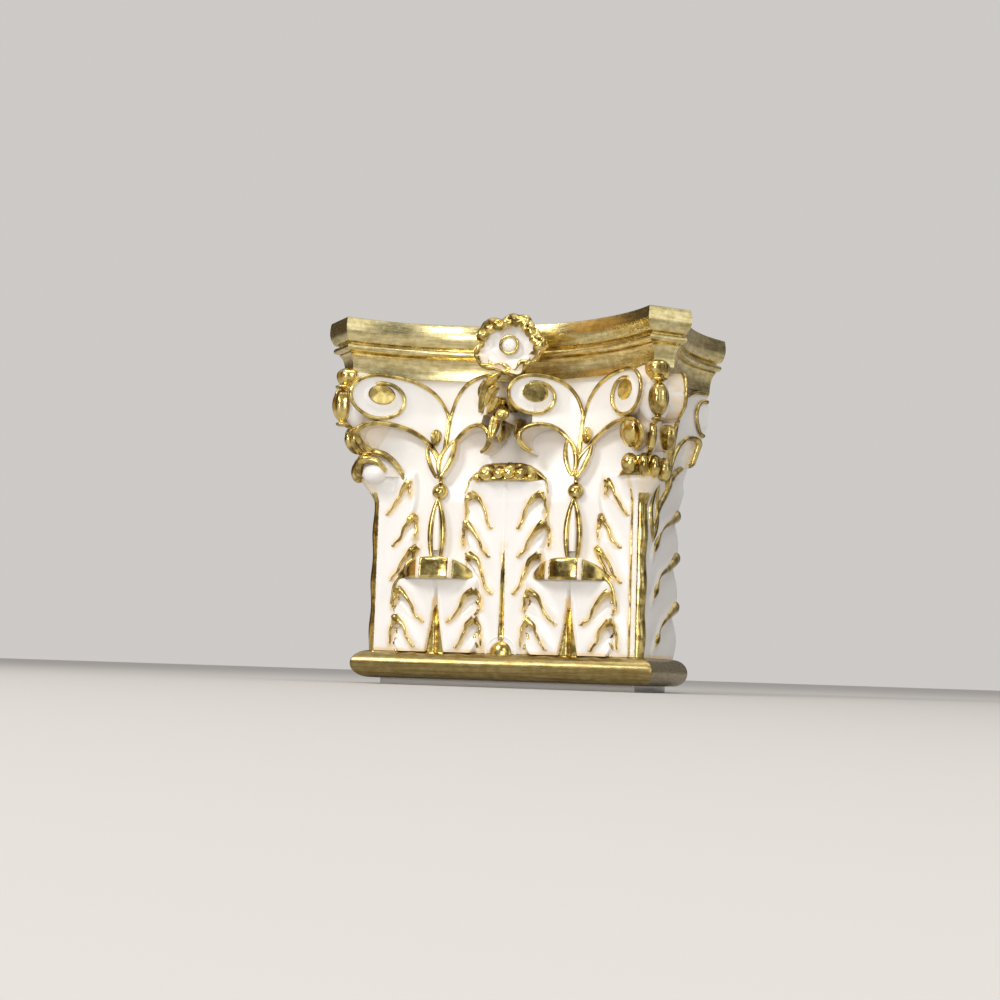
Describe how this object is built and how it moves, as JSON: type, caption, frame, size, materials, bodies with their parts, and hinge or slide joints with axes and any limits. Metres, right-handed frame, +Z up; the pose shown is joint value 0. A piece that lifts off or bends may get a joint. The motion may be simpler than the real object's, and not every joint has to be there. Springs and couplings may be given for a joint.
{
  "type": "pilaster capital",
  "caption": "Corinthian pilaster capital with a flat back: acanthus leaves, corner volutes and helices under a hollow-sided abacus with a rosette, over an astragal.",
  "frame": {"origin": "middle of the capital's bounding box, on the underside of the neck fillet", "axes": "+Z up the capital, +X to the right as one faces it, -Y out of its front, away from the wall"},
  "size_m": [0.2444, 0.123, 0.2387],
  "materials": {
    "white_enamel": "warm white gloss enamel, with hand-gilded edges, mouldings, volutes and leaf tips"
  },
  "bodies": {
    "root": {"pilaster_capital": "white_enamel"}
  },
  "joints": []
}
